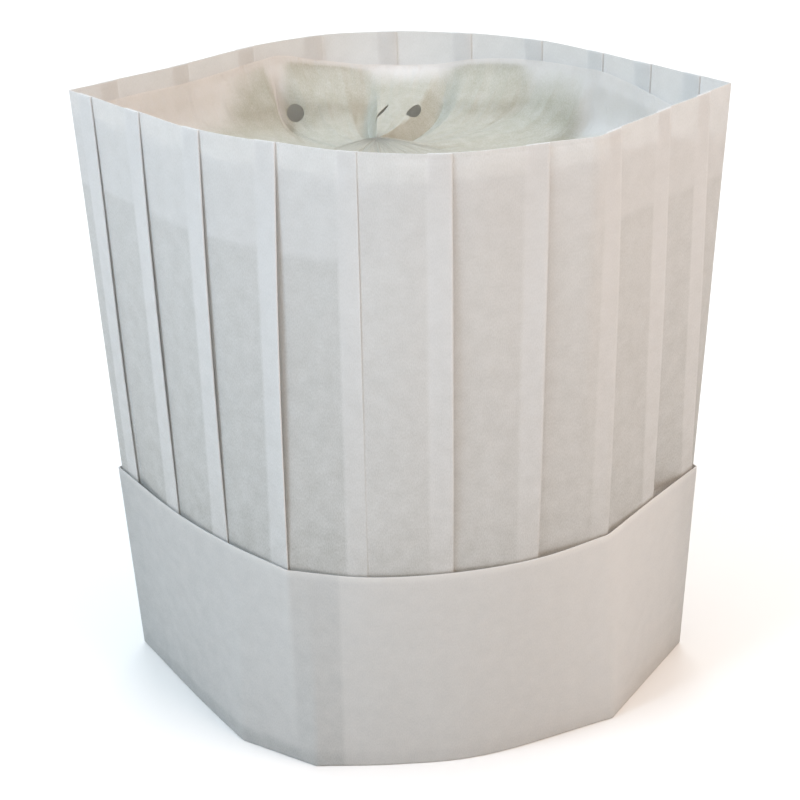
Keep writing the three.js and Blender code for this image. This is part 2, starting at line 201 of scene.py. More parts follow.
# Lines of the roof from the wall to the knot, by distance along the rim: how far the
# sheet's edge lies below the rim, how far its folds hang off the wall, how full it hangs
# (1 is taut, and 5 drops along the wall before it turns inwards) and how low it reaches
ROOF_LINES = [
    # rim, drop, off, fullness, low
    (0, 7, 1, 3, 196), (30, 7, 3, 2, 196), (58, 7, 1, 2.4, 198), (86, 8, 4, 2, 196),
    (112, 8, 1, 2.2, 198), (140, 9, 4, 2, 196), (165, 8, 1, 2.2, 198), (192, 8, 4, 2, 196),
    (222, 7, 1, 2.4, 198), (250, 9, 3, 2, 196), (272, 14, 1, 3, 196), (287, 17, 0, 4.5, 197),
    (300, 15.5, 0, 5, 196), (317, 12, 0, 5.5, 196), (330, 9, 0, 6, 195.5), (343, 7, 0, 6.5, 195),
    (351, 6.5, 0, 7, 194), (356.5, 7, 4.5, 5, 194), (368, 7.3, 5, 4, 196),
    (379, 7.7, 4, 4, 197), (388, 8, 9, 4, 196), (400, 9, 11, 3.4, 196), (409, 10, 11, 3.2, 196),
    (416, 11.5, 6, 4, 194), (422, 12.5, 4, 2.1, 201), (434, 13, 3, 1.9, 201),
    (446, 12.5, 4, 2.1, 200), (451, 12.5, 8, 4, 194), (460, 11, 12, 3.4, 196),
    (471, 9, 12, 4.5, 196), (481, 6.2, 9, 5, 195), (486, 5.3, 4, 5.5, 195),
    (489.5, 5.2, 0.5, 5.5, 194), (494, 5.7, 7, 5, 194), (507, 6.5, 5, 4.2, 195),
    (520, 6.8, 1.5, 3.8, 196), (535, 7, 0, 3.6, 196), (550, 6.5, 0, 3.4, 196),
]

# Where the roof's gathers meet
KNOT = (-8, 33, 201.5)

# Distances off the wall between which the hanging sheet's painted light falls to painted
# shade
HANG_PAINTED_SHADE = (1.5, 10)

# In the roof's painted shade, a line that hangs off the wall by more than LOOSE is loose
# from its very edge: what is more counts LOOSE_GAIN times, in full from a turn of
# LOOSE_TURN degrees on
LOOSE = 2
LOOSE_GAIN = 1.2
LOOSE_TURN = 8

# How far the roof keeps from the wall, and the hanging sheet from its own skirt
ROOF_CLEAR = 0.5
SKIRT_GAP = 0.8

# Shares of the fall over which the gap to the skirt and the folds off the wall open
GAP_SPAN = (0, 0.25)
OFF_SPAN = (0.05, 0.6)

# Share of the way out over which the sheet comes down from the knot, and the height and
# the twist in radians of the gathers that run from it
TUFT = 0.35
RIPPLE = 1.9
RIPPLE_TWIST = 1.5

# Rings of the skirt and of the hanging sheet, and how many degrees the last ring has turned
SKIRT_RINGS = 8
RINGS = 52
LAST_TURN = 88.5

# Stations of the headband and of the roof over the front, and as many over the back
HALF_STATIONS = 180

# Vent holes in the roof, by distance along the rim and turn from the wall in degrees, and
# the shares of its width and length that a hole keeps where a gather closes it, and how
# many degrees it leans
VENTS = [
    # rim, turn, wide, long, lean
    (484.5, 36, 0.85, 0.82, 0), (443, 52, 0.16, 1.25, 28), (422.5, 50, 0.42, 1, 8),
]

# A vent's plane goes through the points this far along the rim and this many degrees nearer
# to the wall, and its punch has this many sides and this depth
NEAR_ALONG = 2
NEAR_TURN = 3
PUNCH_SIDES = 40
PUNCH_DEPTH = 8

# An edge that turns by more than this many degrees stays sharp
SHARP = 50

# Fibres, clouds and wrinkles to the metre of cloth
FIBRES = (2800, 1100, 1)
CLOUDS = 160
WRINKLES = (140, 25, 1)

# Side of the floor in metres, and the strength of the sky
FLOOR_SIDE = 12
SKY_STRENGTH = 0.44

# Area lights: name, place, aim, side in metres, power in watts, colour
LIGHTS = [
    ("window_left", (-1.8, -1.0, 1.9), (0, 0, 0.12), 1.0, 42, "#d3ebff"),
    ("wall_right", (1.6, -1.0, 1.8), (0, 0, 0.12), 1.2, 28, "#ffe4d5"),
    ("wall_behind", (0, 2.2, 1.0), (0, 0, 0.15), 1.6, 18.5, "#eef7ff"),
    ("ceiling", (0, 0.2, 2.4), (0, 0, 0.1), 1.6, 31, "#d7eeff"),
]

# The camera's place in the outlines' frame in millimetres, its turns in degrees, and its
# lens and sensor in millimetres
CAMERA_PLACE = (-1.7, -578.8, 389.6)
CAMERA_PITCH = 25.86
CAMERA_ROLL = 1.44
CAMERA_LENS = 76.5
CAMERA_SENSOR = 36


def linear(code):
    """Linear RGBA of an sRGB hex colour."""
    parts = [int(code[i:i + 2], 16) / 255 for i in (1, 3, 5)]
    return (*(c / 12.92 if c <= 0.04045 else ((c + 0.055) / 1.055) ** 2.4 for c in parts), 1)


def length(name, description, default):
    """A length that is stored in metres."""
    return FloatProperty(
        name=name, description=description, default=default, min=0, unit="LENGTH", precision=5
    )


def colour(name, description, code):
    """A colour whose default is an sRGB hex colour."""
    return FloatVectorProperty(
        name=name, description=description, default=linear(code), size=4, subtype="COLOR",
        min=0, max=1,
    )


class HatSizes(bpy.types.PropertyGroup):
    """Sizes of the hat, in metres"""

    hat_height: length("Hat height", "From the surface to the rim", cad_box[1].z)
    cuff_height: length("Cuff height", "From the surface to the cuff's edge", band_box[1].z)
    sheet: length("Sheet", "Thickness of one ply", 0.24 * MM)
    ply_gap: length("Ply gap", "Air between the plies of a pleat", 0.1 * MM)
    leaf_gap: length("Leaf gap", "Air between the cuff and the wall", 0.6 * MM)
    pleat_lap: length("Pleat lap", "How far a pleat folds back under itself", 7.5 * MM)
    seam_lap: length("Seam lap", "Overlap of the glued seam", 6.5 * MM)
    wall_foot: length("Wall foot", "Height of the wall's lower edge in the headband", 6 * MM)
    inner_leaf: length("Inner leaf", "Height of the headband's inner leaf", 80 * MM)
    vent: length("Vent", "Diameter of a vent hole", 8.5 * MM)


class HatColours(bpy.types.PropertyGroup):
    """Colours of the sheets and of the stage"""

    # Each sheet has a lit and a shaded copy of one colour, which the painted light and shade
    # mixes: the lit copy where plies lie on each other or the wall lies behind the roof, the
    # shaded copy as painted shade where the dark hollow shows through a single ply or the roof
    # hangs free, and the roof's shaded copy is tinted greenish as painted light from inside the
    # hat
    sheet_painted_lit: colour("Sheet over sheet", "Where plies lie on each other", "#e9eaea")
    sheet_painted_shaded: colour("Single sheet", "Where the dark hollow shows through", "#bbbcb8")
    band_painted_lit: colour("Headband", "Where plies lie behind the cuff", "#e8e8e7")
    band_painted_shaded: colour("Headband fold", "Where one ply stands alone", "#bec1c1")
    roof_painted_lit: colour("Roof", "Where the wall lies behind it", "#fcfbfa")
    roof_painted_shaded: colour("Roof folds", "Where it hangs free", "#dfded4")
    floor: colour("Floor", "Pale floor", "#f7f7f6")
    sky: colour("Sky", "Soft light all round", "#ffe9d0")


def distances(points):
    """Distance of each point of a line from its first one, along the line."""
    steps = np.linalg.norm(np.diff(points, axis=0), axis=1)
    return np.concatenate([[0], np.cumsum(steps)])


def unit(vectors):
    """The same directions with a length of 1."""
    return vectors / np.linalg.norm(vectors, axis=-1, keepdims=True)


class Outline:
    """A closed line in plan, walked by distance from the left crease.

    Between creases it is a centripetal Catmull-Rom curve through its rows. Each sample
    also has the direction outwards, which near a crease leans towards the bisector of
    the corner, so that lines moved inwards never cross. FAN is how near that is, and
    SAMPLES the number of samples between two rows.
    """

    FAN = 12
    SAMPLES = 48

    def __init__(self, creases, rows):
        rows = np.array(rows, float)
        ends = [*creases[1:], len(rows)]
        spans = [self.span(np.vstack([rows, rows[:1]])[a:b + 1]) for a, b in zip(creases, ends)]
        turns = [self.turn(spans[i - 1], spans[i]) for i in range(len(spans))]
        start, parts = 0, []
        for i, (points, along, tangent) in enumerate(spans):
            span_length = along[-1]
            near_start = np.clip(1 - along / self.FAN, 0, 1)
            near_end = np.clip(1 - (span_length - along) / self.FAN, 0, 1)
            skew = turns[(i + 1) % len(turns)] * near_end - turns[i] * near_start
            outwards = np.stack([tangent[:, 1], -tangent[:, 0]], 1) + skew[:, None] * tangent
            parts.append(np.column_stack([start + along, points, outwards]))
            if i == len(spans) - 1:
                self.front = start
            start += span_length
        self.length = start
        self.table = np.vstack(parts)

    def span(self, rows):
        """Samples of the curve through rows: points, distances and unit tangents."""
        knots = np.vstack([2 * rows[0] - rows[1], rows, 2 * rows[-1] - rows[-2]])
        t = np.linspace(0, 1, self.SAMPLES, endpoint=False)[:, None]
        pieces = []
        for a, b, c, d in zip(knots, knots[1:], knots[2:], knots[3:]):
            before, middle, after = (
                math.sqrt(math.dist(p, q)) for p, q in ((a, b), (b, c), (c, d))
            )
            leave = ((b - a) / before - (c - a) / (before + middle)) * middle + (c - b)
            arrive = (c - b) + ((d - c) / after - (d - b) / (middle + after)) * middle
            pieces.append(
                b + leave * t + (3 * (c - b) - 2 * leave - arrive) * t**2
                + (2 * (b - c) + leave + arrive) * t**3
            )
        points = np.vstack([*pieces, rows[-1:]])
        along = distances(points)
        return points, along, unit(np.gradient(points, along, axis=0, edge_order=2))

    @staticmethod
    def turn(before, after):
        """Tangent of half the angle that the line turns by between two spans."""
        return math.tan(math.acos(float(np.clip(before[2][-1] @ after[2][0], -1, 1))) / 2)

    def at(self, distance, inset):
        """Points at a distance along the line, moved inwards, as x and y arrays."""
        along = np.mod(distance, self.length)
        at = self.table[:, 0]
        x, y, out_x, out_y = (np.interp(along, at, column) for column in self.table[:, 1:].T)
        return np.stack(np.broadcast_arrays(x - inset * out_x, y - inset * out_y), -1)


rim = Outline(**RIM)
cuff = Outline(**CUFF)
foot = Outline(**FOOT)

# The outlines' own origin in the model's frame: both have the headband's widest place
footprint = np.vstack([cuff.table[:, 1:3], foot.table[:, 1:3]])
footprint_middle = (footprint.min(0) + footprint.max(0)) / 2
SHIFT = np.array([*(np.array(band_box)[:, :2].mean(0) / MM - footprint_middle), 0])


def sizes(context):
    """The sizes in millimetres, with the depths that follow from them."""
    group = context.scene.hat_sizes
    size = SimpleNamespace(
        **{name: getattr(group, name) / MM for name in HatSizes.__annotations__}
    )
    size.pitch = size.sheet + size.ply_gap
    size.depth = 2 * size.pitch + size.sheet
    size.leaf_inset = size.sheet + size.leaf_gap
    return size


def smooth_step(low, high, value):
    """0 below low, 1 above high, and a smooth rise between them."""
    share = np.clip((value - low) / (high - low), 0, 1)
    return share * share * (3 - 2 * share)


def round_the_hat(outline):
    """Distances of the stations along an outline."""
    halves = ((0, outline.front), (outline.front, outline.length))
    return np.concatenate([np.linspace(a, b, HALF_STATIONS, endpoint=False) for a, b in halves])


def foot_distance(cuff_distance):
    """Distance along the foot with the same share of the front or of the back."""
    along = np.mod(cuff_distance, cuff.length)
    return np.interp(along, [0, cuff.front, cuff.length], [0, foot.front, foot.length])


def cuff_point(size, cuff_at, inset, z):
    """Ruled surface from the foot outline to the cuff outline, at height z."""
    low = foot.at(foot_distance(cuff_at), inset)
    high = cuff.at(cuff_at, inset)
    return low + (high - low) * (np.asarray(z) / size.cuff_height)[..., None]


def share_above_cuff(size, z):
    """Share of the way up from the cuff's edge to the rim, and 0 below the edge."""
    return np.clip((z - size.cuff_height) / (size.hat_height - size.cuff_height), 0, 1)


def wall_point(size, rim_at, cuff_at, inset, z):
    """Inside the cuff's leaf up to its edge, and ruled from there to the rim."""
    inside = cuff_point(size, cuff_at, inset + size.leaf_inset, np.minimum(z, size.cuff_height))
    top = rim.at(rim_at, inset)
    return inside + (top - inside) * share_above_cuff(size, z)[..., None]


def with_height(plan, z):
    """Points from x and y arrays and a height array."""
    return np.concatenate([plan, np.broadcast_to(z, plan.shape[:-1])[..., None]], -1)


def crossing(array):
    """Adds the first row again after the last, for a grid that closes on itself."""
    return np.concatenate([array, array[:1]])


def grid_quads(rows, columns, close_rows, close_columns):
    """Corner numbers of a grid's quads, and of the same corners in an unwrapped grid."""
    i, j = np.meshgrid(
        np.arange(rows if close_rows else rows - 1),
        np.arange(columns if close_columns else columns - 1),
        indexing="ij",
    )
    i, j = i.ravel(), j.ravel()
    corners = [(i, j), (i + 1, j), (i + 1, j + 1), (i, j + 1)]
    wrapped = np.stack([(a % rows) * columns + b % columns for a, b in corners], 1)
    return wrapped, np.stack([np.stack([a, b], -1) for a, b in corners], 1)


def cloth_place(lengthwise, across, corners):
    """Place on the cloth of each corner of the faces, by its row and column in the grid."""
    return np.stack([lengthwise[corners[..., 0]], across[corners[..., 1]]], -1).reshape(-1, 2)


def make_object(name, points, faces, corner_uv, values):
    """A mesh object from points in millimetres, a list of arrays of faces with the same
    number of corners, the cloth place of each corner in millimetres, and point values."""
    mesh = bpy.data.meshes.new(name)
    mesh.vertices.add(len(points))
    mesh.vertices.foreach_set("co", ((points + SHIFT) * MM).astype(np.float32).ravel())
    corners = np.concatenate([face.ravel() for face in faces])
    sides = np.concatenate([np.full(len(face), face.shape[1]) for face in faces])
    starts = np.concatenate([[0], np.cumsum(sides)[:-1]])
    mesh.loops.add(len(corners))
    mesh.polygons.add(len(sides))
    mesh.polygons.foreach_set("loop_start", starts.astype(np.int32))
    mesh.polygons.foreach_set("vertices", corners.astype(np.int32))
    mesh.polygons.foreach_set("use_smooth", np.ones(len(sides), bool))
    mesh.update(calc_edges=True)
    cloth = mesh.uv_layers.new(name="cloth")
    cloth.data.foreach_set("uv", (corner_uv * MM).astype(np.float32).ravel())
    for key, value in values.items():
        attribute = mesh.attributes.new(key, "FLOAT", "POINT")
        attribute.data.foreach_set("value", np.ascontiguousarray(value, np.float32).ravel())
    mesh.set_sharp_from_angle(angle=math.radians(SHARP))
    mesh.validate()
    piece = bpy.data.objects.new(name, mesh)
    bpy.context.scene.collection.objects.link(piece)
    return piece


def half_turn():
    """Angles from -90 to 90 degrees, without the two ends."""
    return np.linspace(-math.pi / 2, math.pi / 2, FOLD_STEPS + 2)[1:-1]


def pleat_rows(size):
    """Middle line of one pleat seen from above, in rows of: share of the way over the
    panel, part of the lap, millimetres more, inset, and how much it swings as the pleat
    opens. The line crosses the panel, runs out over the lap, turns back under itself in
    a half circle, turns again at the lap's start and runs on below."""
    radius, half = size.pitch / 2, size.sheet / 2
    second, third = half + size.pitch, half + 2 * size.pitch
    share = np.array([0, 0.03, 0.08, 0.16, 0.26, 0.38, 0.5, 0.62, 0.74, 0.85, 0.94])
    panel = [(s, 0, 0, half + 2 * size.pitch * (1 - s), 0) for s in share]
    top = [(1, part, 0, half, part) for part in (0, 0.03, 0.3, 0.6, 0.85)]
    top.append((1, 1, -radius, half, 1))
    middle = [(1, 1, -radius, second, 1), (1, 0.6, 0, second, 0.6), (1, 0, radius, second, 0)]
    under = [(1, 0, radius, third, 0), (1, 0.5, 0, third, 0), (1, 0.95, 0, third, 0)]
    edge, pocket = [], []
    for angle in half_turn():
        out, down = radius * (1 - math.cos(angle)), radius * (1 + math.sin(angle))
        edge.append((1, 1, -out, half + down, 1))
        pocket.append((1, 0, out, second + down, 0))
    return np.array(panel + top + edge + middle + pocket + under)


def strip_stations(rows, before, after, lap):
    """Stations of the strip, one for each of the section's rows between each pair of fold
    edges: place along the rim and along the cuff, inset, swing, gap, 1 on folded plies,
    backing, which is painted as light, and part of the swing."""
    share, part, more, inset, swing = rows.T[:, None, :]
    start = [before[:, k:k + 1] + RUN_OUT for k in (0, 1)]
    end = [after[:, k:k + 1] - lap for k in (0, 1)]
    rim_at, cuff_at = (
        (1 - share) * a + share * b + part * lap + more for a, b in zip(start, end)
    )
    stand, gap, backing = after[:, 2:3], before[:, 3:4], before[:, 4:5]
    columns = np.broadcast_arrays(
        rim_at, cuff_at, inset, swing * stand, (1 - share) * gap, share >= 1, backing, swing
    )
    return np.stack(columns, -1).reshape(-1, len(columns))


def wall_path(size):
    """The whole strip's middle line, from the seam's under ply all the way round to the
    seam's raw edge, as a namespace of arrays with one value for each station."""
    folds = np.array(FOLDS)
    back_share = (cuff.length - cuff.front) / (rim.length - rim.front)
    back = np.array([
        (rim.front + d, cuff.front + d * back_share, BACK_STAND, 0, 0) for d in BACK_FOLDS
    ])
    lead = folds[:SEAM_ROW + 1].copy()
    lead[:, :2] += rim.length, cuff.length
    order = np.vstack([folds[SEAM_ROW:], back, lead])
    before, after = order[:-1], order[1:]
    half = size.sheet / 2
    rows = pleat_rows(size)
    panel = rows[rows[:, 0] < 1]
    under = np.array([(1, part, 0, half + size.pitch, 0) for part in (0, 0.35, 0.7, 1)])
    over = np.array([(1, part, 0, half, 0) for part in (0, 0.03, 0.35, 0.7, 1)])
    head = strip_stations(under, order[:1], order[:1], size.seam_lap)
    pleats = strip_stations(rows, before[:-1], after[:-1], size.pleat_lap)
    tail = strip_stations(np.vstack([panel, over]), before[-1:], after[-1:], size.seam_lap)
    # The seam has one ply under its first panel, where a pleat has two
    pleats[:len(panel), 2] = half + size.pitch * (1 - panel[:, 0])
    keys = ("rim", "cuff", "inset", "swing", "gap", "folded", "backing", "swing_part")
    path = SimpleNamespace(**dict(zip(keys, np.vstack([head, pleats, tail]).T)))
    snap_to_crease(path, rim.front, cuff.front)
    snap_to_crease(path, rim.length, cuff.length)
    line = np.stack([path.rim, path.inset], 1)
    path.along = distances(line)
    slope = unit(np.gradient(line, path.along, axis=0))
    path.normal = np.stack([slope[:, 1], -slope[:, 0]])
    return path


def snap_to_crease(path, rim_crease, cuff_crease):
    """Moves the nearest station of a panel on to a crease of the hat and the next ones
    close beside it, and spreads the panel's places along the cuff in step with those
    along the rim, so that the two creases fall together."""
    flat = np.where(path.folded == 0)[0]
    nearest = flat[np.argmin(np.abs(path.rim[flat] - rim_crease))]
    panels = np.split(flat, np.where(np.diff(flat) > 1)[0] + 1)
    panel = next(panel for panel in panels if nearest in panel)
    path.rim[nearest - 1:nearest + 2] = rim_crease + CREASE_STEP * np.array([-1, 0, 1])
    rims = [path.rim[panel[0]], rim_crease, path.rim[panel[-1]]]
    cuffs = [path.cuff[panel[0]], cuff_crease, path.cuff[panel[-1]]]
    path.cuff[panel] = np.interp(path.rim[panel], rims, cuffs)


def wall_levels(size):
    """Heights from the wall's foot to the rim, close together where the cuff's edge, the
    skirt's foot and the rim's inner ply lie."""
    edge, top = size.cuff_height, size.hat_height
    step = top - RIM_STEP
    marks = [
        size.wall_foot, edge - 6, edge + 6, top - 40, top - 27, step, step + RIM_STEP_RISE, top
    ]
    counts = (9, 9, 22, 9, 9, 1, 3)
    parts = [np.linspace(a, b, n, endpoint=False) for a, b, n in zip(marks, marks[1:], counts)]
    return np.concatenate([*parts, [top]])


def pucker(distance, z):
    """Slow uneven waves of a hung sheet: a sum of sines across and up."""
    waves = [(0.071, 0.013, 0.3), (0.123, -0.021, 1.7), (0.043, 0.052, 4.1), (0.197, 0.031, 2.6)]
    total = sum(np.sin(a * distance + b * z + c) / (1 + k) for k, (a, b, c) in enumerate(waves))
    return PUCKER * total / 2


def wall_face(size, path, side, z):
    """Points of one face of the wall: the middle line moved half a ply along its normal,
    opened at the fold edges most half-way up, pushed back at the cuff's edge, and
    stepped back on the rim's inner ply."""
    shift = side * size.sheet / 2
    rim_at = (path.rim + shift * path.normal[0])[:, None]
    cuff_at = (path.cuff + shift * path.normal[0])[:, None]
    inset = (path.inset + shift * path.normal[1])[:, None]
    share = share_above_cuff(size, z)
    opening = 4 * share * (1 - share)
    low, high = (size.cuff_height - depth for depth in GAP_RISE)
    behind = smooth_step(low, high, z) * (1 - share) ** 3
    inset = inset - path.swing[:, None] * opening + path.gap[:, None] * behind
    inset = inset + pucker(rim_at, z) * np.sqrt(opening)
    around = np.mod(rim_at, rim.length)
    stepped = smooth_step(*RIM_STEP_START, around) - smooth_step(*RIM_STEP_END, around)
    step = size.hat_height - RIM_STEP
    inset = inset + RIM_STEP_DEPTH * stepped * smooth_step(step, step + RIM_STEP_RISE, z)
    return with_height(wall_point(size, rim_at, cuff_at, inset, z), z)


def build_wall(context):
    """Crown wall: the strip's section at every station, carried up through the levels."""
    size = sizes(context)
    path = wall_path(size)
    z = wall_levels(size)
    outer_face = wall_face(size, path, 1, z)
    inner_face = wall_face(size, path, -1, z)
    points = np.concatenate([outer_face, inner_face[:, ::-1]], 1)
    stations, around = points.shape[:2]
    faces, corners = grid_quads(stations, around, False, True)
    height = crossing(np.concatenate([z, z[::-1]]))
    uv = cloth_place(path.along, height, corners)
    level = np.arange(len(z) - 1)
    ring = np.stack([level, level + 1, around - 2 - level, around - 1 - level], 1)
    caps = [ring, (stations - 1) * around + ring[:, ::-1]]
    cap_uv = [
        np.stack([np.full(ring.shape, along), height[ring]], -1).reshape(-1, 2)
        for along in path.along[[0, -1]]
    ]
    # Painted light and shade on the outer face
    outer_painted_light = wall_painted_light(size, path, z)
    # The inner face is painted light, whiter than the lit colour, with painted shade on a single
    # ply
    inside = np.broadcast_to(INNER_PAINTED_LIGHT - INNER_BARE_PAINTED_SHADE * (1 - path.folded[:, None]), outer_painted_light.shape)
    return make_object(
        "pleated_wall", points.reshape(-1, 3), [faces, *caps], np.vstack([uv, *cap_uv]),
        {"painted_light": np.concatenate([outer_painted_light, inside], 1)},
    )


def wall_painted_light(size, path, z):
    """Painted light and shade on the wall's outer face: 1 where plies lie on each other near
    the rim, painted shade where a single ply lets the dark hollow through, more painted
    shade down the hollow, and a painted highlight on a fold's edge. The roof's skirt is a
    second ply behind the top, which adds painted light to a single ply there."""
    rim_at, foot_z, white = np.array(SKIRT_FOOT, float).T
    around = np.mod(path.rim, rim.length)
    foot_z, white = (np.interp(around, rim_at, row)[:, None] for row in (foot_z, white))
    # Painted light that the skirt behind adds to a single ply
    behind = smooth_step(-SKIRT_BLUR, SKIRT_BLUR, z - foot_z) * white
    # Painted shade of a single ply, through which the dark hollow shows, less on folds and where
    # a second ply or the skirt lies behind
    bare_painted_shade = (1 - behind) * (1 - path.folded[:, None]) * (1 - path.backing[:, None])
    # Painted shade of the hollow, darker down towards the cuff
    hollow = np.interp(z - size.cuff_height, *np.array(HOLLOW_SHADE, float).T)
    # Painted highlight on a fold's edge
    edge = EDGE_PAINTED_HIGHLIGHT * smooth_step(EDGE_PART, 1, path.swing_part)[:, None]
    return 1 - BARE_PAINTED_SHADE * bare_painted_shade - hollow + edge


def band_section(size):
    """Middle line of the headband's section in rows of inset and height: down the outer
    leaf, round the fold in a half circle, and up the inner leaf."""
    half, radius = BAND_BULK * size.sheet / 2, FOLD_RADIUS
    inner, rise = size.leaf_inset + size.depth + INNER_CLEAR, half + 2 * FOLD_RADIUS
    levels = np.concatenate([np.linspace(size.cuff_height, 8, 26), [6, 4, 2.5, 1.4, 0.9]])
    outer_leaf = [(half, z) for z in levels]
    fold = [
        (half + radius * (1 + math.sin(angle)), half + radius * (1 - math.cos(angle)))
        for angle in half_turn()
    ]
    inner_foot = [(rise, 0.9), (rise + 0.3, 2), (inner - 0.4, 5), (inner, 7)]
    inner_leaf = [(inner, z) for z in np.linspace(10, size.inner_leaf, 12)]
    return np.array(outer_leaf + fold + inner_foot + inner_leaf)


def build_band(context):
    """Headband: the section of outer leaf, fold and inner leaf, carried round the hat."""
    size = sizes(context)
    half, top = BAND_BULK * size.sheet / 2, size.cuff_height
    middle = band_section(size)
    along = distances(middle)
    slope = unit(np.gradient(middle, along, axis=0))
    normal = np.stack([slope[:, 1], -slope[:, 0]], 1)
    section = np.vstack([middle + half * normal, (middle - half * normal)[::-1]])
    inset, z = section[:, 0], np.maximum(section[:, 1], 0)
    cuff_at = round_the_hat(cuff)[:, None]
    points = with_height(cuff_point(size, cuff_at, inset, z), z)
    stations, around = points.shape[:2]
    faces, corners = grid_quads(stations, around, True, True)
    across = crossing(np.concatenate([along, along[::-1]]))
    uv = cloth_place(np.append(cuff_at, cuff.length), across, corners)
    # Painted light for what lies behind the headband's leaf, and painted shade down to its foot
    backing = np.interp(cuff_at, *np.array(BAND_BACKING_PAINTED_LIGHT, float).T)
    backing = backing - BAND_FOOT_PAINTED_SHADE * (1 - z / top)
    # Painted shade of the empty fold below the wall's foot
    shade = np.interp(cuff_at, *np.array(FOOT_SHADE, float).T)
    empty = 1 - smooth_step(-FOOT_BLUR, FOOT_BLUR, z - size.wall_foot)
    # Painted highlight on the headband's edge
    edge = BAND_EDGE_PAINTED_HIGHLIGHT * smooth_step(*(top - depth for depth in BAND_EDGE_RISE), z)
    # The inner leaf is painted fully lit
    inside = np.where(np.arange(around) < around // 2, 0, 1)
    values = {"painted_light": np.maximum(backing - shade * empty + edge, inside)}
    return make_object("headband_cuff", points.reshape(-1, 3), [faces], uv, values)


def roof_line(distance):
    """Drop, off, fullness and low at a distance along the rim, between table rows."""
    table = np.array(ROOF_LINES, float)
    table = np.vstack([table, [rim.length, *table[0, 1:]]])
    after = np.clip(np.searchsorted(table[:, 0], distance, "right"), 1, len(table) - 1)
    a, b = table[after - 1], table[after]
    blend = ((distance - a[..., 0]) / (b[..., 0] - a[..., 0]))[..., None]
    return np.moveaxis(a[..., 1:] + (b - a)[..., 1:] * blend, -1, 0)


def roof_place(distance):
    """Cuff distance with the same share of the front or of the back as a rim distance."""
    return np.interp(distance, [0, rim.front, rim.length], [0, cuff.front, cuff.length])


def roof_point(size, distance, turn, inset):
    """Point of the roof. From its edge at the wall to the knot it follows a quarter of a
    superellipse, whose power is the fullness: a turn of 0 degrees is the edge, and at 90
    the line has reached the knot, which stands up a little from the low of the bag."""
    drop, off, fullness, low = roof_line(distance)
    angle = np.radians(turn)
    along, across = np.cos(angle), np.sin(angle)
    radius = (along**fullness + across**fullness) ** (-1 / fullness)
    share, fall = radius * along, radius * across
    top = size.hat_height - drop
    z = top - (top - low) * fall
    gap = SKIRT_GAP * smooth_step(*GAP_SPAN, fall) + off * smooth_step(*OFF_SPAN, fall)
    edge = wall_point(size, distance, roof_place(distance), inset + gap, z)
    centre, height = np.array(KNOT[:2]), KNOT[2]
    plan = centre + (edge - centre) * share[..., None]
    tuft = (height - low) * (1 - smooth_step(0, TUFT, share))
    return with_height(plan, z + tuft + roof_ripple(distance, share))


def roof_ripple(distance, share):
    """Gathers that run from the knot to the wall, turn a little on the way and are highest
    a third of the way out: a sum of sines of the angle round the hat."""
    turn = 2 * math.pi * distance / rim.length
    waves = [(9, 0.7, 0.5), (14, 3.4, 0.5), (17, 0.4, 0.45), (23, 2.2, 0.5), (31, 1.1, 0.3)]
    twist = RIPPLE_TWIST * share
    total = sum(high * np.sin(count * turn + phase + twist) for count, phase, high in waves)
    return RIPPLE * total * share * (1 - share) ** 2


def roof_painted_light(size, distance, turn, rings, inset):
    """Painted light and shade on the hanging sheet: 1 against the wall, down to 0, painted
    shade, where it hangs free, by its distance off the wall, which a loose line counts as
    more."""
    wall = wall_point(size, distance, roof_place(distance), inset, rings[..., 2])
    more = np.maximum(roof_line(distance)[1] - LOOSE, 0)
    hang = np.linalg.norm(rings[..., :2] - wall, axis=-1)
    hang = hang + LOOSE_GAIN * more * smooth_step(0, LOOSE_TURN, turn)
    return 1 - smooth_step(*HANG_PAINTED_SHADE, hang)


